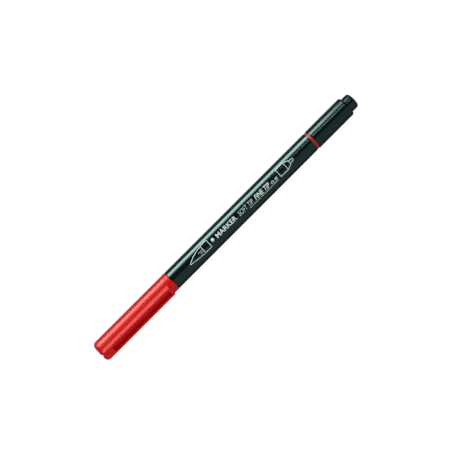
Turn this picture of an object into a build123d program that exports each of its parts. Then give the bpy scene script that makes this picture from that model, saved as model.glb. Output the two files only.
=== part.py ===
from build123d import *
import math
import os

# Double-ended fibre brush pen, lying on its side, in millimetres.
# The origin is on the pen's axis at the middle of the barrel. +X runs towards the fine tip, +Z is up.
# A soft brush tip is under the long cap at -X, and a fine fibre tip is under the short cap at +X.

# ---- driving dimensions -------------------------------------------------------------------------
barrel_length = 90.4
barrel_r = 4.92
barrel_bore_r = 3.75
barrel_end_chamfer = 0.15
edge_break_length = 0.30        # the slight lead-in on the barrel's brush end and on the brush cap's mouth
edge_break_depth = 0.12
rib_count = 6
rib_r = 3.45            # the ribs' inner faces, which keep the reservoir central
rib_width = 0.6

ring_width = 1.45
ring_r = 4.75
ring_chamfer = 0.12

neck_r = 4.00           # both caps slide on a neck of this size
bead_r = 4.03           # the low bead that each cap clicks over
cap_bore_r = 4.05
fit_gap = 0.02          # radial gap of a pressed or glued fit

brush_cap_length = 46.6
brush_cap_collar_r = 4.98
brush_cap_collar_length = 1.9
brush_cap_body_r = 4.94
brush_cap_end_wall = 2.6
brush_cap_end_round = 2.2
brush_cap_dish_r = 3.30         # the hollow in the closed end, inside the rim
brush_cap_dish_depth = 1.2
notch_angle = 29.0              # the notch in that rim, turned from +Z towards -Y
notch_half_width = 1.25
notch_floor_half_width = 0.50
notch_depth = 0.80
brush_neck_length = 9.0
brush_nose_length = 11.0
brush_tip_length = 11.5

pad_angle = 42.0        # the cap's anti-roll pad, turned from +Z towards -Y
pad_top_half_width = 2.64
pad_foot_half_width = 3.46
pad_top_height = 5.41
pad_foot_height = 3.46
pad_mouth_gap = 1.95    # from the cap's mouth to the pad's rounded end
pad_mouth_round = 1.7
pad_panel_shallow = 0.15        # the sunk panel's floor slopes from this depth to the next
pad_panel_deep = 1.30
pad_panel_half_width = 1.92
pad_panel_end_gap = 5.9
pad_panel_mouth_gap = 4.2

fine_cap_body_length = 22.3
fine_cap_r = 5.00
fine_cap_shoulder_round = 0.9
spigot_length = 4.25
spigot_r = 3.875
spigot_round = 1.25
fine_neck_length = 6.8
fine_nose_length = 6.2
fine_pipe_length = 2.4
fine_tip_length = 1.6

reservoir_r = 3.30
reservoir_film = 0.10
reservoir_half_length = 35.0

seam_turn = 2.5         # turns every round piece's parting line off the line that the pen rests on

# ---- stations along the pen ---------------------------------------------------------------------
x_brush_mouth = -barrel_length / 2
x_brush_end = x_brush_mouth - brush_cap_length
x_brush_neck_end = x_brush_mouth - brush_neck_length
x_brush_nose_end = x_brush_neck_end - brush_nose_length
x_brush_point = x_brush_nose_end - brush_tip_length

x_ring = barrel_length / 2
x_fine_mouth = x_ring + ring_width
x_fine_neck_end = x_fine_mouth + fine_neck_length
x_fine_nose_end = x_fine_neck_end + fine_nose_length
x_fine_pipe_end = x_fine_nose_end + fine_pipe_length
x_fine_point = x_fine_pipe_end + fine_tip_length
x_shoulder = x_fine_mouth + fine_cap_body_length
x_fine_end = x_shoulder + spigot_length


def turned(points):
    """A solid of revolution about the pen's axis from a closed outline of (x, radius) points."""
    outline = make_face(Polyline([(x, 0, r) for x, r in points], close=True))
    return Rot(seam_turn, 0, 0) * revolve(outline, Axis.X)


def rod(x_low, x_high, r):
    return turned([(x_low, 0), (x_high, 0), (x_high, r), (x_low, r)])


def tube(x_low, x_high, r_in, r_out):
    return turned([(x_low, r_in), (x_high, r_in), (x_high, r_out), (x_low, r_out)])


def circles_at(solid, x, r):
    """The circular edges of a turned solid at one station and radius."""
    return [
        edge for edge in solid.edges().filter_by(GeomType.CIRCLE)
        if abs(edge.radius - r) < 1e-3 and abs(edge.center().X - x) < 1e-3
    ]


# ---- barrel -------------------------------------------------------------------------------------
def make_barrel():
    """Moulded tube with inner ribs that centre the ink reservoir and leave air paths beside it."""
    body = turned([
        (x_brush_mouth, barrel_bore_r),
        (x_brush_mouth, barrel_r - edge_break_depth),
        (x_brush_mouth + edge_break_length, barrel_r),
        (x_ring - barrel_end_chamfer, barrel_r),
        (x_ring, barrel_r - barrel_end_chamfer),
        (x_ring, barrel_bore_r),
    ])
    rib_half_length = reservoir_half_length - 5.0
    rib_height = barrel_bore_r - rib_r + 0.2
    for number in range(rib_count):
        rib = Pos(0, 0, rib_r + rib_height / 2) * Box(2 * rib_half_length, rib_width, rib_height)
        body += Rot(360.0 * number / rib_count, 0, 0) * rib
    return body


def make_colour_ring():
    """Loose ring that shows the ink's colour, trapped between the barrel and the fine cap."""
    ring = tube(x_ring, x_fine_mouth, neck_r + fit_gap, ring_r)
    return chamfer(circles_at(ring, x_ring, ring_r) + circles_at(ring, x_fine_mouth, ring_r), ring_chamfer)


# ---- ink reservoir ------------------------------------------------------------------------------
brush_stem_r = 1.25
brush_stem_depth = 5.0
fine_stem_r = 0.55
fine_stem_depth = 6.0


def make_reservoir():
    """Bonded-fibre rod, bored at both ends where the tips' stems push in."""
    core = rod(-reservoir_half_length, reservoir_half_length, reservoir_r)
    core -= rod(-reservoir_half_length, -reservoir_half_length + brush_stem_depth, brush_stem_r)
    core -= rod(reservoir_half_length - fine_stem_depth, reservoir_half_length, fine_stem_r)
    return core


def make_reservoir_film():
    """Clear film drawn tight around the reservoir."""
    return tube(-reservoir_half_length, reservoir_half_length, reservoir_r, reservoir_r + reservoir_film)


# ---- brush end ----------------------------------------------------------------------------------
brush_holder_r = 1.90
brush_holder_length = 7.0
plug_length = 8.0


def make_brush_nose():
    """Neck and cone that plug into the barrel, with a stepped bore for the brush's holder and stem."""
    x_tail = x_brush_mouth + plug_length
    x_bead = x_brush_mouth - 3.0
    outline = [
        (x_brush_nose_end, brush_holder_r + fit_gap),
        (x_brush_nose_end, 2.45),
        (x_brush_nose_end + 0.3, 2.65),
        (x_brush_neck_end - 0.8, 3.40),
        (x_brush_neck_end, 3.40),
        (x_brush_neck_end, neck_r - 0.2),
        (x_brush_neck_end + 0.2, neck_r),
        (x_bead - 0.5, neck_r),
        (x_bead - 0.2, bead_r),
        (x_bead + 0.2, bead_r),
        (x_bead + 0.5, neck_r),
        (x_brush_mouth, neck_r),
        (x_brush_mouth, barrel_bore_r - fit_gap),
        (x_tail - 0.4, barrel_bore_r - fit_gap),
        (x_tail, barrel_bore_r - 0.4),
        (x_tail, 2.60),
        (x_brush_neck_end + 2.0, 2.60),
        (x_brush_neck_end + 1.0, brush_stem_r + 0.10),
        (x_brush_nose_end + brush_holder_length, brush_stem_r + 0.10),
        (x_brush_nose_end + brush_holder_length, brush_holder_r + fit_gap),
    ]
    return turned(outline)


def make_brush_holder():
    """Plastic sleeve that grips the brush's stem inside the nose."""
    return tube(x_brush_nose_end, x_brush_nose_end + brush_holder_length, brush_stem_r + fit_gap, brush_holder_r)


def make_brush_tip():
    """Soft fibre brush: a belly that swells a little, then draws down to a rounded point, on a long stem."""
    belly_r = 1.75
    x_belly = x_brush_nose_end - 2.2
    x_stem = -reservoir_half_length + brush_stem_depth
    profile = (
        Line((x_stem, 0), (x_stem, brush_stem_r))
        + Line((x_stem, brush_stem_r), (x_brush_nose_end, brush_stem_r))
        + Line((x_brush_nose_end, brush_stem_r), (x_brush_nose_end, belly_r - 0.1))
        + Spline([(x_brush_nose_end, belly_r - 0.1), (x_belly, belly_r), (x_brush_point + 3.5, 0.85),
                  (x_brush_point + 0.12, 0.16)])
        + Line((x_brush_point + 0.12, 0.16), (x_brush_point, 0))
        + Line((x_brush_point, 0), (x_stem, 0))
    )
    return revolve(make_face(Plane.XZ * profile), Axis.X)


# ---- fine end -----------------------------------------------------------------------------------
fine_pipe_r = 1.05


def make_fine_nose():
    """Neck and short cone that plug into the barrel and carry the fine tip's pipe."""
    x_tail = x_ring - plug_length
    x_bead = x_fine_mouth + 2.6
    outline = [
        (x_tail, 2.60),
        (x_tail, barrel_bore_r - 0.4),
        (x_tail + 0.4, barrel_bore_r - fit_gap),
        (x_ring, barrel_bore_r - fit_gap),
        (x_ring, neck_r),
        (x_bead - 0.5, neck_r),
        (x_bead - 0.2, bead_r),
        (x_bead + 0.2, bead_r),
        (x_bead + 0.5, neck_r),
        (x_fine_neck_end - 0.2, neck_r),
        (x_fine_neck_end, neck_r - 0.2),
        (x_fine_neck_end, 3.00),
        (x_fine_neck_end + 0.8, 3.00),
        (x_fine_nose_end, 1.45),
        (x_fine_nose_end, fine_pipe_r + fit_gap),
        (x_fine_neck_end, fine_pipe_r + fit_gap),
        (x_fine_neck_end, fine_stem_r + 0.10),
        (x_fine_neck_end - 2.0, fine_stem_r + 0.10),
        (x_fine_neck_end - 4.0, 2.60),
    ]
    return turned(outline)


def make_fine_pipe():
    """Thin pipe that holds the fine tip where it leaves the nose."""
    outline = [
        (x_fine_neck_end, fine_stem_r + fit_gap),
        (x_fine_neck_end, fine_pipe_r),
        (x_fine_pipe_end - 0.6, fine_pipe_r),
        (x_fine_pipe_end, 0.80),
        (x_fine_pipe_end, fine_stem_r + fit_gap),
    ]
    return turned(outline)


def make_fine_tip():
    """Fibre rod with a rounded writing end."""
    body = rod(reservoir_half_length - fine_stem_depth, x_fine_point, fine_stem_r)
    return fillet(circles_at(body, x_fine_point, fine_stem_r), 0.45)


# ---- brush cap ----------------------------------------------------------------------------------
brush_ledge_gap = 11.5
seal_flange_length = 0.8
seal_wall = 0.45
brush_seal_length = 30.0


pad_radians = math.radians(pad_angle)
pad_plane = Plane(origin=(0, 0, 0), x_dir=(1, 0, 0), z_dir=(0, -math.sin(pad_radians), math.cos(pad_radians)))


def section_plane(x):
    """The plane across the cap at one station, turned so that its y points out through the pad."""
    return Plane(origin=(x, 0, 0), x_dir=pad_plane.y_dir, z_dir=(1, 0, 0))


def make_pad():
    """Long raised pad on one side of the cap, trapezoid in section, rounded in plan at the mouth end."""
    x_pad_end = x_brush_mouth - pad_mouth_gap
    section = section_plane(x_brush_end) * make_face(Polyline([
        (-pad_foot_half_width, pad_foot_height),
        (pad_foot_half_width, pad_foot_height),
        (pad_top_half_width, pad_top_height),
        (-pad_top_half_width, pad_top_height),
    ], close=True))
    bar = extrude(section, x_pad_end - x_brush_end)
    plan_length = x_pad_end - x_brush_end + 10.0
    plan = Pos(x_pad_end - plan_length / 2, 0) * RectangleRounded(
        plan_length, 2 * pad_foot_half_width + 0.02, pad_mouth_round)
    bar &= extrude(pad_plane * plan, 2 * pad_top_height)
    crests = [
        edge for edge in bar.edges().filter_by(GeomType.LINE)
        if edge.length > 30 and pad_plane.to_local_coords(edge.center()).Z > pad_top_height - 0.01
    ]
    return fillet(crests, 0.25)


def make_panel():
    """Sunk panel in the pad's top, with a floor that slopes down away from the top of the cap."""
    x_low = x_brush_end + pad_panel_end_gap
    x_high = x_brush_mouth - pad_panel_mouth_gap
    plan = Pos((x_low + x_high) / 2, 0) * RectangleRounded(x_high - x_low, 2 * pad_panel_half_width, 0.5)
    section = section_plane(x_low) * make_face(Polyline([
        (-pad_panel_half_width, pad_top_height - pad_panel_deep),
        (pad_panel_half_width, pad_top_height - pad_panel_shallow),
        (pad_panel_half_width, pad_top_height + 1.0),
        (-pad_panel_half_width, pad_top_height + 1.0),
    ], close=True))
    return extrude(section, x_high - x_low) & extrude(pad_plane * plan, 2 * pad_top_height)


def make_notch():
    """Groove with sloping sides, cut outwards through the rim of the cap's closed end."""
    outside_half_width = 2 * notch_half_width - notch_floor_half_width
    groove = make_face(Polyline([
        (x_brush_end + notch_depth, -notch_floor_half_width),
        (x_brush_end + notch_depth, notch_floor_half_width),
        (x_brush_end - notch_depth, outside_half_width),
        (x_brush_end - notch_depth, -outside_half_width),
    ], close=True))
    cutter = Pos(0, 0, brush_cap_dish_r / 2) * extrude(groove, brush_cap_collar_r)
    return Rot(notch_angle, 0, 0) * cutter


def make_brush_cap():
    """Cap shell: a short round collar at the mouth, a barely smaller body, and the pad along one side."""
    x_collar = x_brush_mouth - brush_cap_collar_length
    outer = turned([
        (x_brush_end, 0),
        (x_brush_mouth, 0),
        (x_brush_mouth, brush_cap_collar_r - edge_break_depth),
        (x_brush_mouth - edge_break_length, brush_cap_collar_r),
        (x_collar, brush_cap_collar_r),
        (x_collar, brush_cap_body_r),
        (x_brush_end, brush_cap_body_r),
    ])
    outer += make_pad()
    end_edges = [
        edge for edge in outer.edges()
        if edge.bounding_box().max.X < x_brush_end + 1e-3
    ]
    outer = fillet(end_edges, brush_cap_end_round)
    outer -= turned([
        (x_brush_end, 0),
        (x_brush_end, brush_cap_dish_r),
        (x_brush_end + brush_cap_dish_depth, brush_cap_dish_r - 0.2),
        (x_brush_end + brush_cap_dish_depth, 0),
    ])
    outer -= make_notch()
    outer -= make_panel()
    x_ledge = x_brush_mouth - brush_ledge_gap
    hollow = turned([
        (x_brush_end + brush_cap_end_wall, 0),
        (x_brush_mouth, 0),
        (x_brush_mouth, cap_bore_r),
        (x_ledge, cap_bore_r),
        (x_ledge, cap_bore_r - 0.15),
        (x_brush_end + brush_cap_end_wall, cap_bore_r - 0.15),
    ])
    return outer - hollow


def make_brush_seal():
    """Soft inner cup that closes round the nose's cone so that the brush doesn't dry."""
    x_ledge = x_brush_mouth - brush_ledge_gap
    r_out = cap_bore_r - 0.15 - fit_gap
    outline = [
        (x_ledge + seal_flange_length, r_out - seal_wall),
        (x_ledge + seal_flange_length, cap_bore_r - fit_gap),
        (x_ledge, cap_bore_r - fit_gap),
        (x_ledge, r_out),
        (x_ledge - brush_seal_length, r_out),
        (x_ledge - brush_seal_length, 0),
        (x_ledge - brush_seal_length + 0.8, 0),
        (x_ledge - brush_seal_length + 0.8, r_out - seal_wall),
    ]
    return turned(outline)


# ---- fine cap -----------------------------------------------------------------------------------
fine_ledge_gap = 8.6
fine_cap_end_wall = 1.2
fine_seal_r = 3.50
fine_seal_length = 11.0


def make_fine_cap():
    """Short cap shell that steps down to a spigot, on which the other cap can be stored."""
    outer = rod(x_fine_mouth, x_shoulder, fine_cap_r)
    outer = fillet(circles_at(outer, x_shoulder, fine_cap_r), fine_cap_shoulder_round)
    spigot = rod(x_shoulder - 1.0, x_fine_end, spigot_r)
    outer += fillet(circles_at(spigot, x_fine_end, spigot_r), spigot_round)
    x_ledge = x_fine_mouth + fine_ledge_gap
    hollow = turned([
        (x_fine_mouth, 0),
        (x_fine_end - fine_cap_end_wall, 0),
        (x_fine_end - fine_cap_end_wall, spigot_r - 1.3),
        (x_shoulder - 0.6, spigot_r - 1.3),
        (x_shoulder - 1.4, fine_seal_r + fit_gap),
        (x_ledge, fine_seal_r + fit_gap),
        (x_ledge, cap_bore_r),
        (x_fine_mouth, cap_bore_r),
    ])
    return outer - hollow


def make_fine_seal():
    """Soft inner cup that closes round the fine end's cone."""
    x_ledge = x_fine_mouth + fine_ledge_gap
    outline = [
        (x_ledge - seal_flange_length, fine_seal_r - seal_wall),
        (x_ledge - seal_flange_length, cap_bore_r - fit_gap),
        (x_ledge, cap_bore_r - fit_gap),
        (x_ledge, fine_seal_r),
        (x_ledge + fine_seal_length, fine_seal_r),
        (x_ledge + fine_seal_length, 0),
        (x_ledge + fine_seal_length - 0.8, 0),
        (x_ledge + fine_seal_length - 0.8, fine_seal_r - seal_wall),
    ]
    return turned(outline)


pieces = {
    "barrel": make_barrel(),
    "colour_ring": make_colour_ring(),
    "ink_reservoir": make_reservoir(),
    "reservoir_film": make_reservoir_film(),
    "brush_nose": make_brush_nose(),
    "brush_holder": make_brush_holder(),
    "brush_tip": make_brush_tip(),
    "fine_nose": make_fine_nose(),
    "fine_pipe": make_fine_pipe(),
    "fine_tip": make_fine_tip(),
    "brush_cap": make_brush_cap(),
    "brush_cap_seal": make_brush_seal(),
    "fine_cap": make_fine_cap(),
    "fine_cap_seal": make_fine_seal(),
}
os.makedirs("parts", exist_ok=True)
for name, piece in pieces.items():
    piece.label = name
    export_step(piece, f"parts/{name}.step")
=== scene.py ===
import bmesh
import bpy
import numpy as np
from mathutils import Matrix, Vector


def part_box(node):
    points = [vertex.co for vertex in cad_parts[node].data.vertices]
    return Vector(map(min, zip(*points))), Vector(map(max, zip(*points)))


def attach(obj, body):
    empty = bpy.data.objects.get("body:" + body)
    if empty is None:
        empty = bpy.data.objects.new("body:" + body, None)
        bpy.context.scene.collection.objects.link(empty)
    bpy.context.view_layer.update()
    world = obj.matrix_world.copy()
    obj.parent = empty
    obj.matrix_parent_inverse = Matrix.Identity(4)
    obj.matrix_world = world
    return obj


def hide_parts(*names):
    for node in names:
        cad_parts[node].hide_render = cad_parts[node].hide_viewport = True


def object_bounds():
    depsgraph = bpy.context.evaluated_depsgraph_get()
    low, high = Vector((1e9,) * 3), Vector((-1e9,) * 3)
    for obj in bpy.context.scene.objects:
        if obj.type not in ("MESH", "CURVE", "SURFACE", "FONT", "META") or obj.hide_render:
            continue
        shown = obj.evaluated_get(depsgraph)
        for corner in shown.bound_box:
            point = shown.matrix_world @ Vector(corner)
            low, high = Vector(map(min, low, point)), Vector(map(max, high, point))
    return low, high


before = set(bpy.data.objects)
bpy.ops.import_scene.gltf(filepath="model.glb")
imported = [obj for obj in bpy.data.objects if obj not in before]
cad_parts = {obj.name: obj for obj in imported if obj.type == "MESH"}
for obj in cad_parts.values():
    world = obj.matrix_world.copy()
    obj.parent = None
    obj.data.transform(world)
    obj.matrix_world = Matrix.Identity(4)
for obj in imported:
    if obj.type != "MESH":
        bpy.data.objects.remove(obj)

cad_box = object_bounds()
mm = 0.001

# ---- barrel --------------------------------------------------------------------------------------
# The barrel is one moulded tube of black polypropylene with a polished skin. Six ribs inside keep the
# ink reservoir central, and both noses are pressed into its ends.
x_brush_mouth, x_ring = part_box("barrel")[0].x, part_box("barrel")[1].x
barrel_r = 4.92 * mm
barrel_bore_r = 3.75 * mm
rib_count = 6
rib_height = 0.30 * mm
rib_half_angle = np.radians(4.8)
rib_half_length = 30.0 * mm
edge_break = (0.30 * mm, 0.12 * mm)


def rounded(corners, closed=True, steps=7, longest_hold=0.05 * mm):
    """Points along an outline in (x, radius). Each corner (x, radius, round) becomes an arc: it starts
    where a circle of that round touches the incoming side, and turns with the circle until it meets the
    outgoing side. A point before and after each arc holds the sides flat. The ends of an open outline stay
    where they are."""
    corners = np.array(corners, float)
    place, size = corners[:, :2], corners[:, 2].copy()
    side = np.roll(place, -1, axis=0) - place
    length = np.linalg.norm(side, axis=1)
    outgoing = side / length[:, None]
    incoming = np.roll(outgoing, 1, axis=0)
    if not closed:
        size[[0, -1]] = 0
        incoming[0] = outgoing[0]
        outgoing[-1] = incoming[-1]
    cross = incoming[:, 0] * outgoing[:, 1] - incoming[:, 1] * outgoing[:, 0]
    turn = np.arctan2(cross, (incoming * outgoing).sum(1))
    reach = size * np.tan(np.abs(turn) / 2)
    free = length - reach - np.roll(reach, -1)
    hold_out = np.clip(free / 4, 0, longest_hold)
    hold_in = np.roll(hold_out, 1)
    if not closed:
        hold_in[0] = hold_out[-1] = 0
    inward = np.sign(turn)[:, None] * np.stack([-incoming[:, 1], incoming[:, 0]], 1)
    start = place - incoming * reach[:, None]
    angle = np.linspace(0, 1, steps)[None, :] * np.abs(turn)[:, None]
    arc = start[:, None] + size[:, None, None] * (
        np.sin(angle)[..., None] * incoming[:, None] + (1 - np.cos(angle))[..., None] * inward[:, None]
    )
    before = start - incoming * hold_in[:, None]
    after = arc[:, -1] + outgoing * hold_out[:, None]
    return np.concatenate([before[:, None], arc, after[:, None]], axis=1).reshape(-1, 2)


def turned(outline, around=192):
    """The outline swept through a full turn about the pen's axis: each point (x, r) gives the ring (x, r
    sin a, r cos a), with a going round in equal steps."""
    a = np.arange(around) * 2 * np.pi / around
    x = np.repeat(outline[:, :1], around, axis=1)
    return np.stack([x, outline[:, 1:] * np.sin(a), outline[:, 1:] * np.cos(a)], axis=-1)


def skinned(name, grid, closed_rows):
    """A mesh whose vertices are the grid's points. Each point is joined to the next in its row and to the
    same point in the next row. Rows close on themselves, and so do columns where closed_rows is true.
    Points that meet at a pole are merged, and faces are turned outwards."""
    rows, columns = grid.shape[:2]
    index = np.arange(rows * columns).reshape(rows, columns)
    here = index if closed_rows else index[:-1]
    there = np.roll(index, -1, axis=0) if closed_rows else index[1:]
    quads = np.stack([here, np.roll(here, -1, axis=1), np.roll(there, -1, axis=1), there], axis=-1)
    mesh = bpy.data.meshes.new(name)
    mesh.from_pydata(grid.reshape(-1, 3).tolist(), [], quads.reshape(-1, 4).tolist())
    return cleaned(mesh)


def cleaned(mesh):
    """The same mesh with doubled points merged, empty faces dropped and all faces pointing outwards."""
    work = bmesh.new()
    work.from_mesh(mesh)
    bmesh.ops.remove_doubles(work, verts=work.verts, dist=0.0002 * mm)
    bmesh.ops.dissolve_degenerate(work, edges=work.edges, dist=0.0001 * mm)
    bmesh.ops.recalc_face_normals(work, faces=work.faces)
    work.to_mesh(mesh)
    work.free()
    mesh.shade_smooth()
    return mesh


def fitted(name, mesh, material, body, slot, *nodes):
    """A finished piece on its body, standing for its CAD nodes."""
    piece = bpy.data.objects.new(name, mesh)
    bpy.context.scene.collection.objects.link(piece)
    mesh.materials.append(material)
    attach(piece, body)
    if nodes:
        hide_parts(*nodes)


def add(tree, kind, settings=(), **inputs):
    """A new node. Its inputs are named with _ for a space, and take a number, a colour or another node's
    output."""
    made = tree.nodes.new(kind)
    for setting, value in dict(settings).items():
        setattr(made, setting, value)
    for label, value in inputs.items():
        socket = made.inputs[label.replace("_", " ")]
        if isinstance(value, bpy.types.NodeSocket):
            tree.links.new(value, socket)
        else:
            socket.default_value = value
    return made


def pattern(tree, stretch, scale, detail=3.0, roughness=0.55):
    """Noise on the piece's own coordinates, stretched along each axis by the three factors given."""
    place = add(tree, "ShaderNodeTexCoord").outputs["Object"]
    laid = add(tree, "ShaderNodeMapping", Vector=place, Scale=[1 / s for s in stretch]).outputs["Vector"]
    noise = add(tree, "ShaderNodeTexNoise", Vector=laid, Scale=scale, Detail=detail, Roughness=roughness)
    return noise.outputs["Fac"]


def ranged(tree, value, low, high, from_low=0.3, from_high=0.7):
    """The value, spread from low to high as it goes from from_low to from_high."""
    spread = add(tree, "ShaderNodeMapRange", Value=value, From_Min=from_low, From_Max=from_high,
                 To_Min=low, To_Max=high)
    return spread.outputs["Result"]


def blended(tree, factor, first, second):
    """The first colour where the factor is 0, and the second where it is 1."""
    mixed = add(tree, "ShaderNodeMix", {"data_type": "RGBA"}, Factor=factor)
    for place, colour in ((6, first), (7, second)):
        if isinstance(colour, bpy.types.NodeSocket):
            tree.links.new(colour, mixed.inputs[place])
        else:
            mixed.inputs[place].default_value = (*colour, 1)
    return mixed.outputs[2]


def bumped(tree, *layers):
    """The surface's direction, tilted by each layer in turn. A layer is a pattern and its height in
    metres."""
    normal = None
    for height, distance in layers:
        bump = add(tree, "ShaderNodeBump", Height=height, Distance=distance, Strength=1.0)
        if normal is not None:
            tree.links.new(normal, bump.inputs["Normal"])
        normal = bump.outputs["Normal"]
    return normal


def new_material(name):
    """An empty material: its tree, its shader, and the material."""
    material = bpy.data.materials.new(name)
    material.use_nodes = True
    return material, material.node_tree, material.node_tree.nodes["Principled BSDF"]


def moulded_plastic(name, colour, tint, gloss, mottle=0.12, wave=1.2e-6, grain=0.15e-6):
    """Moulded plastic: its colour wanders along the flow of the melt, fine handling scratches run mostly
    along the pen and dull it in hairlines, and long low waves and a fine grain bend its reflections."""
    material, tree, shader = new_material(name)
    flow = pattern(tree, (6, 1, 1), 260.0)
    dark = [c * (1 - mottle) for c in colour]
    light = [c * (1 + mottle) for c in colour]
    tree.links.new(blended(tree, ranged(tree, flow, 0, 1), dark, light), shader.inputs["Base Color"])
    scratch = pattern(tree, (30, 1, 1), 5200.0, detail=2.0)
    hairline = ranged(tree, scratch, 0, 1, 0.62, 0.70)
    smudge = pattern(tree, (2, 1, 1), 420.0, detail=4.0)
    dulled = add(tree, "ShaderNodeMath", {"operation": "MULTIPLY_ADD"})
    tree.links.new(hairline, dulled.inputs[0])
    dulled.inputs[1].default_value = 0.05
    tree.links.new(ranged(tree, smudge, gloss - 0.025, gloss + 0.035), dulled.inputs[2])
    tree.links.new(dulled.outputs[0], shader.inputs["Roughness"])
    shader.inputs["Specular Tint"].default_value = (*tint, 1)
    shader.inputs["IOR"].default_value = 1.49
    long_wave = pattern(tree, (5, 1, 1), 180.0, detail=1.0)
    fine_grain = pattern(tree, (1, 1, 1), 9000.0, detail=2.0)
    normal = bumped(tree, (long_wave, wave * 8), (fine_grain, grain), (hairline, -grain / 2))
    tree.links.new(normal, shader.inputs["Normal"])
    return material


black_plastic = moulded_plastic("black_plastic", (0.0012, 0.0040, 0.0045), (0.55, 0.97, 0.95), 0.17)

barrel_outline = rounded([
    (x_brush_mouth, barrel_r - edge_break[1], 0.05 * mm),
    (x_brush_mouth + edge_break[0], barrel_r, 0.4 * mm),
    (x_ring - 0.15 * mm, barrel_r, 0.1 * mm),
    (x_ring, barrel_r - 0.15 * mm, 0.05 * mm),
    (x_ring, barrel_bore_r, 0.05 * mm),
    (rib_half_length + 0.2 * mm, barrel_bore_r, 0.02 * mm),
    (rib_half_length, barrel_bore_r - 0.001 * mm, 0.02 * mm),
    (-rib_half_length, barrel_bore_r - 0.001 * mm, 0.02 * mm),
    (-rib_half_length - 0.2 * mm, barrel_bore_r, 0.02 * mm),
    (x_brush_mouth, barrel_bore_r, 0.05 * mm),
])


def with_ribs(grid):
    """The barrel's bore drawn inwards at each rib: by the rib's height within its half angle, easing to
    none."""
    radius = np.hypot(grid[..., 1], grid[..., 2])
    angle = np.arctan2(grid[..., 1], grid[..., 2])
    pitch = 2 * np.pi / rib_count
    away = np.abs((angle + pitch / 2) % pitch - pitch / 2)
    ease = np.clip((1.5 * rib_half_angle - away) / (0.5 * rib_half_angle), 0, 1)
    inside = (radius < barrel_bore_r + 0.01 * mm) & (np.abs(grid[..., 0]) < rib_half_length + 0.1 * mm)
    scale = 1 - inside * ease * rib_height / np.maximum(radius, rib_height)
    return np.stack([grid[..., 0], grid[..., 1] * scale, grid[..., 2] * scale], axis=-1)


barrel_mesh = skinned("barrel_tube", with_ribs(turned(barrel_outline)), closed_rows=True)
fitted("barrel_tube", barrel_mesh, black_plastic, "pen", "barrel_plastic", "barrel")

# ---- print on the barrel -------------------------------------------------------------------------
# The barrel carries one line of pale pad-printed ink: a picture of a brush tip at the brush end, plain
# words for what the pen is, and a picture of a fine tip at the other end. The ink stands a hair proud.
ink_height = 0.015 * mm
ink_sink = 0.006 * mm
line_width = 0.30 * mm
wrap_step = 0.2 * mm


def wrapped(points):
    """Flat points (along, across, height) laid on the barrel: across becomes an arc towards +Y, and height
    is measured outwards from the barrel's skin."""
    angle = points[..., 1] / barrel_r
    radius = barrel_r + points[..., 2]
    return np.stack([points[..., 0], radius * np.sin(angle), radius * np.cos(angle)], axis=-1)


def resampled(path, closed, step=0.12 * mm):
    """The path's points, spaced out evenly along it."""
    path = np.array(path, float)
    if closed:
        path = np.vstack([path, path[:1]])
    run = np.concatenate([[0], np.cumsum(np.linalg.norm(np.diff(path, axis=0), axis=1))])
    wanted = np.linspace(0, run[-1], max(4, int(run[-1] / step)) + 1)
    return np.stack([np.interp(wanted, run, path[:, k]) for k in (0, 1)], axis=1)[: -1 if closed else None]


def line_of_ink(name, path, closed=True, width=line_width):
    """A flat bar of ink carried along a path: four corners, half the width to each side of the path, a
    little below and a little above the barrel's skin. An open line narrows to a point at each end."""
    centre = resampled(path, closed)
    ahead = np.roll(centre, -1, axis=0) - np.roll(centre, 1, axis=0)
    if not closed:
        ahead[0], ahead[-1] = centre[1] - centre[0], centre[-1] - centre[-2]
    ahead /= np.linalg.norm(ahead, axis=1)[:, None]
    across = np.stack([-ahead[:, 1], ahead[:, 0]], axis=1)
    half = np.full(len(centre), width / 2)
    if not closed:
        half[[0, -1]] = 0
    corners = []
    for sideways, height in ((-1, -ink_sink), (1, -ink_sink), (1, ink_height), (-1, ink_height)):
        flat = centre + sideways * half[:, None] * across
        corners.append(np.column_stack([flat, np.full(len(flat), height)]))
    grid = wrapped(np.stack(corners, axis=1))
    return skinned(name, grid, closed_rows=closed)


def printed_words(name, words, x_start, length, height, y_low, slant=0.0, weight=0.0):
    """Lettering as a thin solid: drawn flat, stretched to its length and height, cut into narrow strips
    across the barrel so that it can bend, and wrapped on."""
    drawn = bpy.data.curves.new(name, "FONT")
    drawn.body = words
    drawn.shear = slant
    drawn.offset = weight
    drawn.extrude = 0.5
    drawn.resolution_u = 6
    holder = bpy.data.objects.new(name, drawn)
    bpy.context.scene.collection.objects.link(holder)
    bpy.context.view_layer.update()
    mesh = bpy.data.meshes.new_from_object(holder.evaluated_get(bpy.context.evaluated_depsgraph_get()))
    bpy.data.objects.remove(holder)
    points = np.zeros(len(mesh.vertices) * 3, np.float32)
    mesh.vertices.foreach_get("co", points)
    points = points.reshape(-1, 3).astype(float)
    low, high = points.min(0), points.max(0)
    spread = np.array([length, height, ink_height + ink_sink]) / (high - low)
    points = (points - low) * spread + np.array([x_start, y_low, -ink_sink])
    mesh.vertices.foreach_set("co", points.astype(np.float32).ravel())
    work = bmesh.new()
    work.from_mesh(mesh)
    bmesh.ops.remove_doubles(work, verts=work.verts, dist=0.001 * mm)
    for y in np.arange(y_low + wrap_step, y_low + height, wrap_step):
        everything = work.verts[:] + work.edges[:] + work.faces[:]
        bmesh.ops.bisect_plane(work, geom=everything, dist=1e-8, plane_co=(0, y, 0), plane_no=(0, 1, 0))
    bmesh.ops.triangulate(work, faces=work.faces)
    work.to_mesh(mesh)
    work.free()
    points = np.zeros(len(mesh.vertices) * 3, np.float32)
    mesh.vertices.foreach_get("co", points)
    mesh.vertices.foreach_set("co", wrapped(points.reshape(-1, 3).astype(float)).astype(np.float32).ravel())
    return mesh


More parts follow.
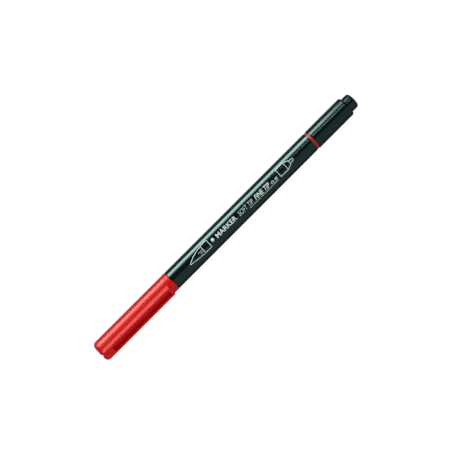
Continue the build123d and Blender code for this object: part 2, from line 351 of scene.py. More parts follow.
def joined(name, meshes):
    """One mesh that holds all of these."""
    work = bmesh.new()
    for mesh in meshes:
        work.from_mesh(mesh)
    whole = bpy.data.meshes.new(name)
    work.to_mesh(whole)
    work.free()
    return whole


def brush_picture():
    """A ferrule's rectangle, and a leaf that swells from it and draws down to a point that hangs a little
    low."""
    x_point, x_join, x_back = -34.2 * mm, -25.1 * mm, -21.2 * mm
    half = 2.05 * mm
    t = np.linspace(0, 1, 24)
    belly = half * 0.93 * (1 - t ** 1.6) ** 0.9
    droop = -0.15 * mm - 0.85 * mm * t ** 2.4
    x = x_join + (x_point - x_join) * t
    upper = np.column_stack([x, droop + belly])
    lower = np.column_stack([x, droop - belly])[::-1]
    ferrule = [(x_join, -half), (x_back, -half), (x_back, half), (x_join, half)]
    hairs = [
        [(x_join, 0.25 * mm), (x_join - 3.0 * mm, 0.1 * mm)],
        [(x_join, -0.65 * mm), (x_join - 2.2 * mm, -0.75 * mm)],
    ]
    return [
        line_of_ink("ferrule_line", ferrule),
        line_of_ink("leaf_line", np.vstack([upper, lower]), closed=False),
        *[line_of_ink("hair_line", hair, closed=False, width=0.6 * line_width) for hair in hairs],
    ]


def fine_picture():
    """A nose's rectangle, its cone, and a small rounded nib."""
    x_back, x_cone, x_nib, x_point = 23.9 * mm, 28.6 * mm, 31.1 * mm, 33.3 * mm
    half, middle, nib = 2.1 * mm, 0.25 * mm, 0.62 * mm
    turn = np.linspace(-np.pi / 2, np.pi / 2, 12)
    end = np.column_stack([x_point - nib + nib * np.cos(turn), middle + nib * np.sin(turn)])
    nib_line = np.vstack([[(x_nib, middle - nib)], end, [(x_nib, middle + nib)]])
    body = [(x_back, middle - half), (x_cone, middle - half), (x_nib, middle - 0.95 * mm),
            (x_nib, middle + 0.95 * mm), (x_cone, middle + half), (x_back, middle + half)]
    fold = [(x_cone, middle - half), (x_cone, middle + half)]
    return [
        line_of_ink("nose_line", body),
        line_of_ink("fold_line", fold, closed=False),
        line_of_ink("nib_line", nib_line),
    ]


def plain_disc(x, y, r):
    """A disc of ink, from a centre point out to its edge and down."""
    a = np.arange(32) * 2 * np.pi / 32
    rings = [(0, ink_height), (0.5 * r, ink_height), (r, ink_height), (r, -ink_sink), (0, -ink_sink)]
    flat = [np.stack([x + s * np.cos(a), y + s * np.sin(a), np.full(32, h)], axis=-1) for s, h in rings]
    return skinned("disc", wrapped(np.stack(flat)), closed_rows=False)


underline = [(3.4 * mm, -1.95 * mm), (22.4 * mm, -1.95 * mm)]
print_meshes = [
    *brush_picture(),
    plain_disc(-18.9 * mm, 0.0, 0.85 * mm),
    printed_words("word_1", "MARKER", -16.6 * mm, 12.7 * mm, 2.3 * mm, -1.30 * mm, weight=0.015),
    printed_words("word_2", "SOFT TIP", -2.3 * mm, 9.2 * mm, 2.3 * mm, -1.35 * mm, slant=0.25, weight=-0.014),
    printed_words("word_3", "FINE TIP", 8.2 * mm, 9.4 * mm, 2.3 * mm, -1.35 * mm, slant=0.25, weight=0.012),
    printed_words("word_4", "0.8", 18.4 * mm, 3.9 * mm, 1.25 * mm, -1.25 * mm, slant=0.1),
    line_of_ink("underline", underline, closed=False, width=0.18 * mm),
    *fine_picture(),
]

ink, ink_tree, ink_shader = new_material("pale_ink")
ink_cover = pattern(ink_tree, (1, 1, 1), 3600.0, detail=4.0)
ink_thin, ink_full = (0.50, 0.62, 0.60), (0.66, 0.78, 0.75)
ink_tree.links.new(blended(ink_tree, ranged(ink_tree, ink_cover, 0, 1), ink_thin, ink_full),
                   ink_shader.inputs["Base Color"])
ink_tree.links.new(ranged(ink_tree, ink_cover, 0.55, 0.38), ink_shader.inputs["Roughness"])
ink_tree.links.new(bumped(ink_tree, (ink_cover, 3e-6)), ink_shader.inputs["Normal"])
fitted("barrel_print", joined("barrel_print", print_meshes), ink, "pen", "barrel_plastic")

# ---- colour ring ---------------------------------------------------------------------------------
# A loose ring in the ink's colour sits on the fine nose's neck, trapped between the barrel and the fine
# cap. It is moulded in red polypropylene with its outer edges broken.
x_fine_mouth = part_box("colour_ring")[1].x
neck_r = 4.00 * mm
ring_r = 4.75 * mm
ring_plastic = moulded_plastic("ring_plastic", (0.25, 0.016, 0.020), (1.0, 0.55, 0.5), 0.30)
ring_outline = rounded([
    (x_ring, neck_r + 0.02 * mm, 0.03 * mm),
    (x_fine_mouth, neck_r + 0.02 * mm, 0.03 * mm),
    (x_fine_mouth, ring_r, 0.14 * mm),
    (x_ring, ring_r, 0.14 * mm),
])
ring_mesh = skinned("colour_band", turned(ring_outline), closed_rows=True)
fitted("colour_band", ring_mesh, ring_plastic, "pen", "ring_plastic", "colour_ring")

# ---- ink reservoir and its film ------------------------------------------------------------------
# The reservoir is a rod of bonded polyester fibre, soaked in red ink, with clear film drawn round it.
# Both slide into the barrel from one end, and the tips' stems push into the rod.
def fibre(name, colour, pale, stretch, scale, rough, depth):
    """Fibres that lie along the pen: long thin streaks of two colours, with a furrow between neighbours."""
    material, tree, shader = new_material(name)
    streak = pattern(tree, (stretch, 1, 1), scale, detail=2.0)
    soak = pattern(tree, (1.5, 1, 1), 500.0, detail=3.0)
    stained = blended(tree, ranged(tree, soak, 0, 0.6), colour, [0.75 * c for c in colour])
    tree.links.new(blended(tree, ranged(tree, streak, 0, 1), stained, pale), shader.inputs["Base Color"])
    tree.links.new(ranged(tree, streak, rough - 0.1, rough + 0.1), shader.inputs["Roughness"])
    tree.links.new(bumped(tree, (streak, depth)), shader.inputs["Normal"])
    return material


reservoir_fibre = fibre("reservoir_fibre", (0.45, 0.03, 0.03), (0.72, 0.30, 0.28), 40, 4200.0, 0.85, 30e-6)
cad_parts["ink_reservoir"].data.materials.clear()
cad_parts["ink_reservoir"].data.materials.append(reservoir_fibre)

film_plastic, film_tree, film_shader = new_material("clear_film")
film_crease = pattern(film_tree, (8, 1, 1), 900.0, detail=2.0)
film_stained, film_clear = (0.86, 0.80, 0.80), (0.92, 0.90, 0.90)
film_tree.links.new(blended(film_tree, ranged(film_tree, film_crease, 0, 1), film_stained, film_clear),
                    film_shader.inputs["Base Color"])
film_tree.links.new(ranged(film_tree, film_crease, 0.08, 0.16), film_shader.inputs["Roughness"])
film_tree.links.new(bumped(film_tree, (film_crease, 12e-6)), film_shader.inputs["Normal"])
film_shader.inputs["Transmission Weight"].default_value = 0.9
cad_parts["reservoir_film"].data.materials.clear()
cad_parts["reservoir_film"].data.materials.append(film_plastic)

# ---- brush end -----------------------------------------------------------------------------------
# The nose is a black polypropylene plug: a neck with a low bead that the cap clicks over, and a cone.
# A natural-coloured sleeve inside it grips the stem of the brush, which is a bundle of soft fibres.
x_brush_point, x_brush_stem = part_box("brush_tip")[0].x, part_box("brush_tip")[1].x
x_brush_nose_end, x_brush_nose_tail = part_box("brush_nose")[0].x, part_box("brush_nose")[1].x
x_brush_neck_end = x_brush_mouth - 9.0 * mm
x_holder_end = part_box("brush_holder")[1].x
bead_r = 4.03 * mm
stem_r = 1.25 * mm
holder_r = 1.92 * mm
x_bead = x_brush_mouth - 3.0 * mm
brush_nose_outline = rounded([
    (x_brush_nose_end, holder_r, 0.05 * mm),
    (x_brush_nose_end, 2.55 * mm, 0.22 * mm),
    (x_brush_neck_end - 0.8 * mm, 3.40 * mm, 0.6 * mm),
    (x_brush_neck_end, 3.40 * mm, 0.1 * mm),
    (x_brush_neck_end, neck_r, 0.2 * mm),
    (x_bead - 0.5 * mm, neck_r, 0.3 * mm),
    (x_bead - 0.2 * mm, bead_r, 0.3 * mm),
    (x_bead + 0.2 * mm, bead_r, 0.3 * mm),
    (x_bead + 0.5 * mm, neck_r, 0.3 * mm),
    (x_brush_mouth, neck_r, 0.05 * mm),
    (x_brush_mouth, barrel_bore_r - 0.02 * mm, 0.03 * mm),
    (x_brush_nose_tail - 0.4 * mm, barrel_bore_r - 0.02 * mm, 0.1 * mm),
    (x_brush_nose_tail, barrel_bore_r - 0.4 * mm, 0.05 * mm),
    (x_brush_nose_tail, 2.60 * mm, 0.05 * mm),
    (x_brush_neck_end + 2.0 * mm, 2.60 * mm, 0.1 * mm),
    (x_brush_neck_end + 1.0 * mm, stem_r + 0.10 * mm, 0.1 * mm),
    (x_holder_end, stem_r + 0.10 * mm, 0.05 * mm),
    (x_holder_end, holder_r, 0.05 * mm),
])
nose_plastic = moulded_plastic("nose_plastic", (0.0022, 0.0045, 0.0050), (0.7, 1.0, 0.98), 0.24)
brush_nose_mesh = skinned("brush_nose_plug", turned(brush_nose_outline), closed_rows=True)
fitted("brush_nose_plug", brush_nose_mesh, nose_plastic, "pen", "nose_plastic", "brush_nose")

holder_plastic = moulded_plastic("holder_plastic", (0.60, 0.56, 0.50), (1.0, 1.0, 1.0), 0.35, mottle=0.04)
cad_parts["brush_holder"].data.materials.clear()
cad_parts["brush_holder"].data.materials.append(holder_plastic)

belly_r = 1.75 * mm
brush_fibres = 72


def brush_surface(rows=150, around=360):
    """The brush as a bundle. Along it the radius swells from the stem to the belly, then falls to a point
    as the square root of the distance left. Round it the radius dips between neighbouring fibres, less and
    less towards the stem's end, and each fibre stands a little higher or lower than the next."""
    t = np.linspace(0, 1, rows) ** 0.8
    x = x_brush_nose_end + 0.6 * mm + (x_brush_point - x_brush_nose_end - 0.6 * mm) * t
    left = np.clip((x - x_brush_point) / (x_brush_nose_end - 2.4 * mm - x_brush_point), 0, 1)
    taper = belly_r * np.sin(left * np.pi / 2) ** 0.72
    settle = np.clip((x_brush_nose_end - x) / (2.4 * mm), 0, 1)
    radius = taper - 0.12 * mm * (1 - settle) ** 2
    a = np.arange(around) * 2 * np.pi / around
    furrow = np.abs(np.sin(a * brush_fibres / 2)) ** 0.5
    uneven = np.sin(a * 5 + 1.3) + np.sin(a * 11 + 0.4) + np.sin(a * 23 + 2.1)
    depth = 0.030 * (1 - furrow) * (0.4 + 0.6 * settle)[:, None] + 0.006 * uneven * settle[:, None]
    skin = radius[:, None] * (1 - depth)
    wisp = a[None, :] + 0.10 * (1 - left)[:, None] * np.sin(3 * a)[None, :]
    station = np.repeat(x[:, None], around, axis=1)
    head = np.stack([station, skin * np.sin(wisp), skin * np.cos(wisp)], axis=-1)
    stem_outline = [
        (x_brush_stem, 0),
        (x_brush_stem, 0.9 * stem_r),
        (x_brush_stem - 0.2 * mm, stem_r),
        (x_brush_nose_end + 0.7 * mm, stem_r),
    ]
    return np.concatenate([turned(np.array(stem_outline), around), head], axis=0)


brush_fibre = fibre("brush_fibre", (0.30, 0.006, 0.006), (0.52, 0.05, 0.045), 60, 5200.0, 0.45, 18e-6)
brush_mesh = skinned("brush_bundle", brush_surface(), closed_rows=False)
fitted("brush_bundle", brush_mesh, brush_fibre, "pen", "brush_fibre", "brush_tip")

# ---- fine end ------------------------------------------------------------------------------------
# The fine nose is the same black plug with a shorter, steeper cone. A natural white acetal pipe is
# pressed into it, and a rod of bonded fibre with a rounded writing end runs through the pipe into the
# reservoir.
x_fine_nose_tail, x_fine_nose_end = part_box("fine_nose")[0].x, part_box("fine_nose")[1].x
x_pipe_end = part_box("fine_pipe")[1].x
x_fine_stem, x_fine_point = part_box("fine_tip")[0].x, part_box("fine_tip")[1].x
x_fine_neck_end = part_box("fine_pipe")[0].x
pipe_r = 1.05 * mm
fine_stem_r = 0.55 * mm
x_fine_bead = x_fine_mouth + 2.6 * mm
fine_nose_outline = rounded([
    (x_fine_nose_tail, 2.60 * mm, 0.05 * mm),
    (x_fine_nose_tail, barrel_bore_r - 0.4 * mm, 0.05 * mm),
    (x_fine_nose_tail + 0.4 * mm, barrel_bore_r - 0.02 * mm, 0.1 * mm),
    (x_ring, barrel_bore_r - 0.02 * mm, 0.03 * mm),
    (x_ring, neck_r, 0.05 * mm),
    (x_fine_bead - 0.5 * mm, neck_r, 0.3 * mm),
    (x_fine_bead - 0.2 * mm, bead_r, 0.3 * mm),
    (x_fine_bead + 0.2 * mm, bead_r, 0.3 * mm),
    (x_fine_bead + 0.5 * mm, neck_r, 0.3 * mm),
    (x_fine_neck_end, neck_r, 0.2 * mm),
    (x_fine_neck_end, 3.00 * mm, 0.1 * mm),
    (x_fine_neck_end + 0.8 * mm, 3.00 * mm, 0.4 * mm),
    (x_fine_nose_end, 1.45 * mm, 0.12 * mm),
    (x_fine_nose_end, pipe_r + 0.02 * mm, 0.03 * mm),
    (x_fine_neck_end, pipe_r + 0.02 * mm, 0.05 * mm),
    (x_fine_neck_end, fine_stem_r + 0.10 * mm, 0.05 * mm),
    (x_fine_neck_end - 2.0 * mm, fine_stem_r + 0.10 * mm, 0.1 * mm),
    (x_fine_neck_end - 4.0 * mm, 2.60 * mm, 0.1 * mm),
])
fine_nose_mesh = skinned("fine_nose_plug", turned(fine_nose_outline), closed_rows=True)
fitted("fine_nose_plug", fine_nose_mesh, nose_plastic, "pen", "nose_plastic", "fine_nose")

pipe_outline = rounded([
    (x_fine_neck_end, fine_stem_r + 0.02 * mm, 0.02 * mm),
    (x_fine_neck_end, pipe_r, 0.05 * mm),
    (x_pipe_end - 0.6 * mm, pipe_r, 0.15 * mm),
    (x_pipe_end, 0.80 * mm, 0.08 * mm),
    (x_pipe_end, fine_stem_r + 0.02 * mm, 0.04 * mm),
])
pipe_plastic = moulded_plastic("pipe_plastic", (0.72, 0.72, 0.70), (1.0, 1.0, 1.0), 0.28, mottle=0.04)
pipe_mesh = skinned("fine_pipe_tube", turned(pipe_outline, 128), closed_rows=True)
fitted("fine_pipe_tube", pipe_mesh, pipe_plastic, "pen", "pipe_plastic", "fine_pipe")

fine_tip_outline = rounded([
    (x_fine_stem, 0, 0),
    (x_fine_stem, fine_stem_r, 0.05 * mm),
    (x_fine_point, fine_stem_r, 0.45 * mm),
    (x_fine_point, 0, 0),
], closed=False, steps=12)
fine_fibre = fibre("fine_fibre", (0.32, 0.008, 0.008), (0.48, 0.05, 0.04), 30, 9000.0, 0.5, 8e-6)
fine_tip_mesh = skinned("fine_tip_rod", turned(fine_tip_outline, 96), closed_rows=False)
fitted("fine_tip_rod", fine_tip_mesh, fine_fibre, "pen", "fine_fibre", "fine_tip")

# ---- brush cap -----------------------------------------------------------------------------------
# The long cap is moulded in glossy red polypropylene. A short collar stands proud at its mouth, and a
# raised pad with a sunk panel runs along one side, which stops the pen from rolling.
x_brush_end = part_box("brush_cap")[0].x
collar_r = 4.98 * mm
collar_length = 1.9 * mm
body_r = 4.94 * mm
cap_bore_r = 4.05 * mm
cap_end_wall = 2.6 * mm
x_ledge = x_brush_mouth - 11.5 * mm
end_round = 2.2 * mm
dish_r = 3.30 * mm
dish_depth = 1.2 * mm
notch_angle = np.radians(29.0)
notch_half_width = 1.25 * mm
notch_floor_half = 0.50 * mm
notch_depth = 0.80 * mm

pad_angle = np.radians(42.0)
pad_foot_half = 3.46 * mm
pad_foot_height = 3.46 * mm
pad_top = 5.41 * mm
pad_top_half = 2.64 * mm
pad_slope = (pad_top - pad_foot_height) / (pad_foot_half - pad_top_half)
pad_mouth_gap = 1.95 * mm
pad_mouth_round = 1.7 * mm
crest_round = 0.20 * mm
foot_round = 0.10 * mm
panel_half = 1.92 * mm
panel_shallow = 0.15 * mm
panel_deep = 1.30 * mm
panel_end_gap = 5.9 * mm
panel_mouth_gap = 4.2 * mm
panel_corner = 0.5 * mm
panel_draft = 0.16 * mm


def soft_lower(a, b, reach):
    """The lower of two heights, with the corner between them rounded over that reach."""
    near = np.clip(reach - np.abs(a - b), 0, None) / reach
    return np.minimum(a, b) - near ** 2 * reach / 4


def soft_higher(a, b, reach):
    """The higher of two heights, with the corner between them filled over that reach."""
    return -soft_lower(-a, -b, reach)


def inside_box(x, u, x_low, x_high, half, corner):
    """How far a point lies inside a rectangle with rounded corners, or minus how far outside."""
    over_x = np.abs(x - (x_low + x_high) / 2) - ((x_high - x_low) / 2 - corner)
    over_u = np.abs(u) - (half - corner)
    outside = np.hypot(np.clip(over_x, 0, None), np.clip(over_u, 0, None))
    return corner - outside - np.clip(np.maximum(over_x, over_u), None, 0)


def pad_height(x, u):
    """Height of the pad over the pen's axis, at a station and a distance across: a sloping wall that rises
    from the pad's plan, cut off by its top."""
    beyond_end = x_brush_end - 20 * mm
    from_edge = inside_box(x, u, beyond_end, x_brush_mouth - pad_mouth_gap, pad_foot_half, pad_mouth_round)
    return soft_lower(pad_foot_height + pad_slope * from_edge, pad_top + 0 * x, crest_round)


def panel_sink(x, u):
    """Depth of the sunk panel below the pad's top, and how far its wall has come down: none outside the
    panel, easing to all over the wall's draft. The floor slopes across the pad, from its shallow side to
    its deep one."""
    x_low, x_high = x_brush_end + panel_end_gap, x_brush_mouth - panel_mouth_gap
    from_edge = inside_box(x, u, x_low, x_high, panel_half, panel_corner)
    ease = np.clip(from_edge / panel_draft, 0, 1)
    ease = ease * ease * (3 - 2 * ease)
    floor_depth = (panel_shallow + panel_deep) / 2 - (panel_deep - panel_shallow) * u / (2 * panel_half)
    return floor_depth * ease, ease


def stations(*stops):
    """Places from one stop to the next, in equal steps. A stop is a place and the step up to it."""
    runs = [np.array([stops[0][0]])]
    for (begin, _), (end, step) in zip(stops, stops[1:]):
        runs.append(np.linspace(begin, end, max(1, round(abs(end - begin) / step)) + 1)[1:])
    return np.concatenate(runs)


def brush_cap_surface():
    """The cap's whole skin as rows along the cap and columns round it. A column starts from a place u
    across the pad, or from an angle on the round side. Rows run from the mouth along the outside, round the
    closed end, into the dish, then from the inner end along the bore back to the mouth."""
    across = stations(
        (0, 0),
        (panel_half - 0.22 * mm, 0.25 * mm),
        (panel_half + 0.04 * mm, 0.02 * mm),
        (pad_top_half - 0.24 * mm, 0.11 * mm),
        (pad_foot_half + 0.04 * mm, 0.07 * mm),
    )
    u = np.concatenate([-across[:0:-1], across])
    edge = np.arcsin(across[-1] / body_r)
    round_side = np.linspace(edge, 2 * np.pi - edge, 152)[1:-1]

    x_pad = x_brush_mouth - pad_mouth_gap
    x_panel_high = x_brush_mouth - panel_mouth_gap
    x_panel_low = x_brush_end + panel_end_gap
    x_collar = x_brush_mouth - collar_length
    x_round = x_brush_end + end_round
    x_out = stations(
        (x_brush_mouth - edge_break[0], 0),
        (x_collar + 0.02 * mm, 0.4 * mm),
        (x_collar - 0.02 * mm, 0.02 * mm),
        (x_pad + 0.05 * mm, 0.2 * mm),
        (x_pad - 2.0 * mm, 0.06 * mm),
        (x_panel_high + 0.05 * mm, 0.1 * mm),
        (x_panel_high - 0.3 * mm, 0.03 * mm),
        (x_panel_high - 0.6 * mm, 0.06 * mm),
        (x_panel_low + 0.6 * mm, 2.5 * mm),
        (x_panel_low + 0.3 * mm, 0.06 * mm),
        (x_panel_low - 0.05 * mm, 0.03 * mm),
        (x_round, 1.2 * mm),
    )
    circle_r = np.where(x_out > x_collar, collar_r, body_r)[:, None]
    lateral = u[None, :] + 0 * x_out[:, None]
    station = x_out[:, None] + 0 * lateral
    circle = np.sqrt(circle_r ** 2 - lateral ** 2)
    solid = soft_higher(circle, pad_height(station, lateral), foot_round)
    pad_part = np.stack([station, lateral, solid - panel_sink(station, lateral)[0]], axis=-1)
    a = round_side[None, :] + 0 * x_out[:, None]
    round_part = np.stack([x_out[:, None] + 0 * a, circle_r * np.sin(a), circle_r * np.cos(a)], axis=-1)
    outside = np.concatenate([pad_part, round_part], axis=1)

    last = outside[-1]
    last_r = np.hypot(last[:, 1], last[:, 2])
    direction = last[:, 1:] / last_r[:, None]

    def ring(x, radius):
        """A row with a station and a radius for each column, along the same directions as the last outside
        row."""
        return np.column_stack([x + 0 * last_r, direction * (radius + 0 * last_r)[:, None]])

    lip_r = dish_r + 0.08 * mm
    full_turn = np.arccos(np.clip(1 - (last_r - lip_r) / end_round, 0, 1))
    end = [ring(x_round - end_round * np.sin(s * full_turn), last_r - end_round * (1 - np.cos(s * full_turn)))
           for s in np.linspace(0, 1, 14)[1:]]
    x_rim = x_round - end_round * np.sin(full_turn)
    rim_edge = last_r - end_round * (1 - np.cos(full_turn))
    rim = [ring(x_rim, rim_edge + (lip_r - rim_edge) * s) for s in (0.15, 0.4, 0.7, 1.0)]
    lip = [ring(x_rim + 0.08 * mm * (1 - np.cos(t)), lip_r - 0.08 * mm * np.sin(t))
           for t in np.linspace(0, np.pi / 2, 5)[1:]]
    x_dish = x_brush_end + dish_depth
    dish = [ring(x, r) for x, r in (
        (x_brush_end + 0.4 * mm, dish_r - 0.05 * mm),
        (x_dish - 0.25 * mm, dish_r - 0.17 * mm),
        (x_dish - 0.07 * mm, dish_r - 0.24 * mm),
        (x_dish, dish_r - 0.42 * mm),
        (x_dish, dish_r - 0.6 * mm),
        (x_dish, 1.5 * mm),
        (x_dish, 0.0),
    )]
    x_floor = x_brush_end + cap_end_wall
    deep_bore_r = cap_bore_r - 0.15 * mm
    lip_edge_r = collar_r - edge_break[1]
    bore = [ring(x, r) for x, r in (
        (x_floor, 0.0),
        (x_floor, 2.0 * mm),
        (x_floor, deep_bore_r - 0.3 * mm),
        (x_floor + 0.3 * mm, deep_bore_r),
        (x_ledge - 0.02 * mm, deep_bore_r),
        (x_ledge, deep_bore_r + 0.01 * mm),
        (x_ledge, cap_bore_r - 0.01 * mm),
        (x_ledge + 0.02 * mm, cap_bore_r),
        (x_brush_mouth - 0.3 * mm, cap_bore_r),
        (x_brush_mouth - 0.06 * mm, cap_bore_r),
        (x_brush_mouth, cap_bore_r + 0.06 * mm),
        (x_brush_mouth, cap_bore_r + 0.15 * mm),
        (x_brush_mouth, lip_edge_r - 0.12 * mm),
        (x_brush_mouth, lip_edge_r - 0.04 * mm),
        (x_brush_mouth - 0.04 * mm, lip_edge_r + 0.01 * mm),
    )]
    inside = np.stack(end + rim + lip + dish + bore)
    return np.concatenate([outside, inside, outside[:1]], axis=0)


def notched(grid):
    """The cap's skin with a notch pressed into the rim of its closed end: near the notch's angle, every
    point in front of the notch's floor and sloping sides is moved back to them."""
    a = pad_angle - notch_angle
    off_centre = grid[..., 1] * np.cos(a) - grid[..., 2] * np.sin(a)
    outwards = grid[..., 1] * np.sin(a) + grid[..., 2] * np.cos(a)
    side = notch_depth * (notch_half_width - np.abs(off_centre)) / (notch_half_width - notch_floor_half)
    groove = x_brush_end + soft_lower(side, notch_depth + 0 * side, 0.15 * mm)
    in_rim = (outwards > 0) & (np.hypot(grid[..., 1], grid[..., 2]) > dish_r - 0.25 * mm)
    x = grid[..., 0]
    moved = np.where(in_rim & (x < x_brush_end + 1.1 * mm), np.maximum(x, groove), x)
    return np.concatenate([moved[..., None], grid[..., 1:]], axis=-1)


def turned_to_pad(grid):
    """The cap's section turned from upright to the pad's angle, towards -Y."""
    y = grid[..., 1] * np.cos(pad_angle) - grid[..., 2] * np.sin(pad_angle)
    z = grid[..., 1] * np.sin(pad_angle) + grid[..., 2] * np.cos(pad_angle)
    return np.stack([grid[..., 0], y, z], axis=-1)


red_plastic = moulded_plastic("red_plastic", (0.54, 0.0012, 0.0010), (1.0, 0.46, 0.41), 0.27, mottle=0.05)
red_tree = red_plastic.node_tree
red_shader = red_tree.nodes["Principled BSDF"]
# Painted shade: on the sunk panel the red is mixed towards a darker red by a weight on the mesh's points,
# standing for the shade that falls in the recess.
unshaded_red = red_shader.inputs["Base Color"].links[0].from_socket
painted_panel_shade = add(red_tree, "ShaderNodeAttribute", {"attribute_name": "painted_panel_shade"}).outputs["Fac"]
painted_shade_red = (0.46, 0.0004, 0.0004)
red_tree.links.new(blended(red_tree, painted_panel_shade, unshaded_red, painted_shade_red), red_shader.inputs["Base Color"])


def mark_painted_shade(mesh):
    """Marks the sunk panel's points, from 0 at its edge to 1 on its floor. There the red is darkened as
    painted shade, standing for the shade that falls in the recess."""
    points = np.zeros(len(mesh.vertices) * 3, np.float32)
    mesh.vertices.foreach_get("co", points)
    x, y, z = points.reshape(-1, 3).astype(float).T
    across = y * np.cos(pad_angle) + z * np.sin(pad_angle)
    height = z * np.cos(pad_angle) - y * np.sin(pad_angle)
    painted_shade_weight = panel_sink(x, across)[1] * (np.hypot(y, z) > cap_bore_r + 0.2 * mm) * (height > 0)
    mesh.attributes.new("painted_panel_shade", "FLOAT", "POINT").data.foreach_set("value", painted_shade_weight.astype(np.float32))


brush_cap_mesh = skinned("brush_cap_shell", turned_to_pad(notched(brush_cap_surface())), closed_rows=False)
mark_painted_shade(brush_cap_mesh)
fitted("brush_cap_shell", brush_cap_mesh, red_plastic, "brush_cap", "brush_cap_plastic", "brush_cap")

# A soft cup of natural polyethylene is pressed into the cap against its ledge. It closes round the
# nose's cone so that the brush stays wet.
seal_flange = 0.8 * mm
seal_wall = 0.45 * mm
x_seal_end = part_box("brush_cap_seal")[0].x
seal_r = cap_bore_r - 0.17 * mm
brush_seal_outline = rounded([
    (x_seal_end, 0, 0),
    (x_seal_end, seal_r, 0.4 * mm),
    (x_ledge, seal_r, 0.03 * mm),
    (x_ledge, cap_bore_r - 0.02 * mm, 0.05 * mm),
    (x_ledge + seal_flange, cap_bore_r - 0.02 * mm, 0.1 * mm),
    (x_ledge + seal_flange, seal_r - seal_wall, 0.15 * mm),
    (x_seal_end + 0.8 * mm, seal_r - seal_wall, 0.3 * mm),
    (x_seal_end + 0.8 * mm, 0, 0),
], closed=False)
seal_plastic = moulded_plastic("seal_plastic", (0.70, 0.69, 0.64), (1.0, 1.0, 1.0), 0.38, mottle=0.03)
brush_seal_mesh = skinned("brush_cap_cup", turned(brush_seal_outline), closed_rows=False)
fitted("brush_cap_cup", brush_seal_mesh, seal_plastic, "brush_cap", "seal_plastic", "brush_cap_seal")

# ---- fine cap ------------------------------------------------------------------------------------
# The short cap is black like the barrel. It steps down to a spigot, on which the long cap is stored
# while the brush is in use.
x_fine_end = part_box("fine_cap")[1].x
x_shoulder = x_fine_mouth + 22.3 * mm
fine_cap_r = 5.00 * mm
spigot_r = 3.875 * mm
x_fine_ledge = x_fine_mouth + 8.6 * mm
fine_seal_r = 3.50 * mm
fine_cap_end_wall = 1.2 * mm
fine_cap_outline = rounded([
    (x_fine_end, 0, 0),
    (x_fine_end, spigot_r, 1.25 * mm),
    (x_shoulder, spigot_r, 0.12 * mm),
    (x_shoulder, fine_cap_r, 0.9 * mm),
    (x_fine_mouth, fine_cap_r, 0.15 * mm),
    (x_fine_mouth, cap_bore_r, 0.1 * mm),
    (x_fine_ledge, cap_bore_r, 0.03 * mm),
    (x_fine_ledge, fine_seal_r + 0.02 * mm, 0.05 * mm),
    (x_shoulder - 1.4 * mm, fine_seal_r + 0.02 * mm, 0.1 * mm),
    (x_shoulder - 0.6 * mm, spigot_r - 1.3 * mm, 0.1 * mm),
    (x_fine_end - fine_cap_end_wall, spigot_r - 1.3 * mm, 0.3 * mm),
    (x_fine_end - fine_cap_end_wall, 0, 0),
], closed=False, steps=10)
fine_cap_mesh = skinned("fine_cap_shell", turned(fine_cap_outline), closed_rows=False)
fine_cap_plastic = moulded_plastic("fine_cap_plastic", (0.0018, 0.0042, 0.0045), (0.46, 0.78, 0.76), 0.18)
fitted("fine_cap_shell", fine_cap_mesh, fine_cap_plastic, "fine_cap", "fine_cap_plastic", "fine_cap")

x_fine_seal_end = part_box("fine_cap_seal")[1].x
fine_seal_outline = rounded([
    (x_fine_seal_end, 0, 0),
    (x_fine_seal_end, fine_seal_r, 0.4 * mm),
    (x_fine_ledge, fine_seal_r, 0.03 * mm),
    (x_fine_ledge, cap_bore_r - 0.02 * mm, 0.05 * mm),
    (x_fine_ledge - seal_flange, cap_bore_r - 0.02 * mm, 0.1 * mm),
    (x_fine_ledge - seal_flange, fine_seal_r - seal_wall, 0.15 * mm),
    (x_fine_seal_end - 0.8 * mm, fine_seal_r - seal_wall, 0.3 * mm),
    (x_fine_seal_end - 0.8 * mm, 0, 0),
], closed=False)
fine_seal_mesh = skinned("fine_cap_cup", turned(fine_seal_outline), closed_rows=False)
fitted("fine_cap_cup", fine_seal_mesh, seal_plastic, "fine_cap", "seal_plastic", "fine_cap_seal")

# ---- studio --------------------------------------------------------------------------------------
# The pen lies on a white sheet under a wide overhead softbox, which gives the soft light. Two long
# softboxes on the +Y side draw the bright line along the pen, and a small one adds a thin second line
# on the fine cap.
floor_half = 1.5
floor_z = cad_box[0].z
floor_grid = np.array([(-1, -1), (1, -1), (1, 1), (-1, 1)]) * floor_half
floor_mesh = bpy.data.meshes.new("sheet")
floor_mesh.from_pydata([(x, y, floor_z) for x, y in floor_grid], [], [(0, 1, 2, 3)])
floor = bpy.data.objects.new("sheet", floor_mesh)
bpy.context.scene.collection.objects.link(floor)
sheet, sheet_tree, sheet_shader = new_material("white_sheet")
sheet_tone = pattern(sheet_tree, (1, 1, 1), 40.0)
sheet_dark, sheet_light = (0.14, 0.14, 0.14), (0.16, 0.16, 0.16)
sheet_tree.links.new(blended(sheet_tree, ranged(sheet_tree, sheet_tone, 0, 1), sheet_dark, sheet_light),
                     sheet_shader.inputs["Base Color"])
sheet_shader.inputs["Roughness"].default_value = 0.9
sheet_shader.inputs["Specular IOR Level"].default_value = 0.0
sheet_shader.inputs["Emission Color"].default_value = (1.0, 1.0, 1.0, 1)
sheet_shader.inputs["Emission Strength"].default_value = 0.92
floor_mesh.materials.append(sheet)
floor.visible_glossy = False


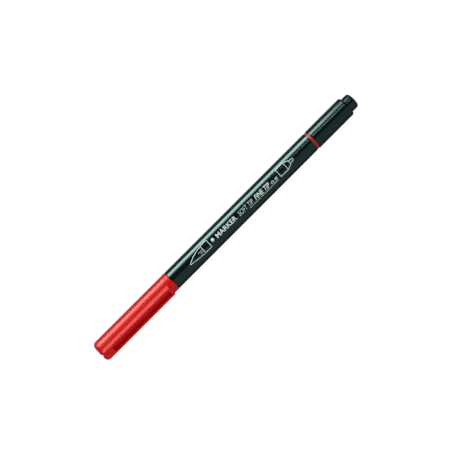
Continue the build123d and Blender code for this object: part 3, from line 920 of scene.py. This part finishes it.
def softbox(name, elevation, distance, size, strength, x=0.0, glossy=True, diffuse=True):
    """A rectangular light above the pen, turned to face it. Elevation is from +Y up over the pen."""
    light = bpy.data.lights.new(name, "AREA")
    light.shape = "RECTANGLE"
    light.size, light.size_y = size
    light.energy = strength * size[0] * size[1]
    lamp = bpy.data.objects.new(name, light)
    towards = Vector((0, np.cos(elevation), np.sin(elevation)))
    lamp.location = towards * distance + Vector((x, 0, 0))
    long_way = Vector((1, 0, 0))
    lamp.matrix_world = Matrix.Translation(lamp.location) @ Matrix(
        (long_way, towards.cross(long_way), towards)).transposed().to_4x4()
    lamp.visible_camera = False
    lamp.visible_glossy = glossy
    lamp.visible_diffuse = diffuse
    bpy.context.scene.collection.objects.link(lamp)


softbox("side_softbox", np.radians(20), 0.50, (0.44, 0.26), 15.5 * np.pi, x=-0.072, diffuse=False)
softbox("side_softbox_edge", np.radians(40), 0.50, (0.44, 0.09), 2.5 * np.pi, x=-0.072, diffuse=False)
softbox("cap_strip", np.radians(61.0), 0.50, (0.056, 0.030), 26.0 * np.pi, x=0.140, diffuse=False)
softbox("overhead_softbox", np.radians(55), 0.90, (1.2, 1.2), 2.6 * np.pi, glossy=False)

# The room is dark but for a pale wall on the -Y side, which shades off towards the ceiling and the
# floor, and a faint glow from under the +Y side. Behind the sheet everything is white.
world = bpy.data.worlds.new("studio")
bpy.context.scene.world = world
world.use_nodes = True
tree = world.node_tree
way = add(tree, "ShaderNodeSeparateXYZ", Vector=add(tree, "ShaderNodeTexCoord").outputs["Generated"])
minus_y = add(tree, "ShaderNodeMath", {"operation": "MULTIPLY"})
tree.links.new(way.outputs["Y"], minus_y.inputs[0])
minus_y.inputs[1].default_value = -1.0
tilt = add(tree, "ShaderNodeMath", {"operation": "ARCTAN2"})
tree.links.new(minus_y.outputs[0], tilt.inputs[0])
tree.links.new(way.outputs["Z"], tilt.inputs[1])
side_low = ranged(tree, tilt.outputs[0], 0.03, 0.60, np.radians(4), np.radians(16))
side_high = ranged(tree, tilt.outputs[0], 1.0, 0.05, np.radians(76), np.radians(128))
side_wall = add(tree, "ShaderNodeMath", {"operation": "MULTIPLY"})
tree.links.new(side_low, side_wall.inputs[0])
tree.links.new(side_high, side_wall.inputs[1])
under_softbox = ranged(tree, tilt.outputs[0], 0.24, 0.0, np.radians(-110), np.radians(-92))
both_sides = add(tree, "ShaderNodeMath", {"operation": "ADD"})
tree.links.new(side_wall.outputs[0], both_sides.inputs[0])
tree.links.new(under_softbox, both_sides.inputs[1])
seen = add(tree, "ShaderNodeLightPath").outputs["Is Camera Ray"]
brightness = add(tree, "ShaderNodeMix", {"data_type": "FLOAT"})
tree.links.new(seen, brightness.inputs[0])
tree.links.new(both_sides.outputs[0], brightness.inputs[2])
brightness.inputs[3].default_value = 1.0
tree.links.new(brightness.outputs[0], tree.nodes["Background"].inputs["Strength"])
tree.nodes["Background"].inputs["Color"].default_value = (1, 1, 1, 1)

# ---- camera --------------------------------------------------------------------------------------
# The camera looks almost straight down, from over the middle of the brush cap's mouth, and is rolled so
# that the pen rises from lower left to upper right.
camera_place = Vector((-41.85, 0.24, 643.0)) * mm
camera_target = Vector((-9.85, 0.13, 0)) * mm
roll = np.radians(44.96)
lens = bpy.data.cameras.new("camera")
lens.sensor_width = 36.0
lens.lens = 111.5
camera = bpy.data.objects.new("camera", lens)
back = (camera_place - camera_target).normalized()
right = Vector((np.cos(roll), -np.sin(roll), 0))
right = (right - back * right.dot(back)).normalized()
facing = Matrix((right, back.cross(right), back)).transposed().to_4x4()
camera.matrix_world = Matrix.Translation(camera_place) @ facing
bpy.context.scene.collection.objects.link(camera)
bpy.context.scene.camera = camera
bpy.context.scene.view_settings.view_transform = "Standard"
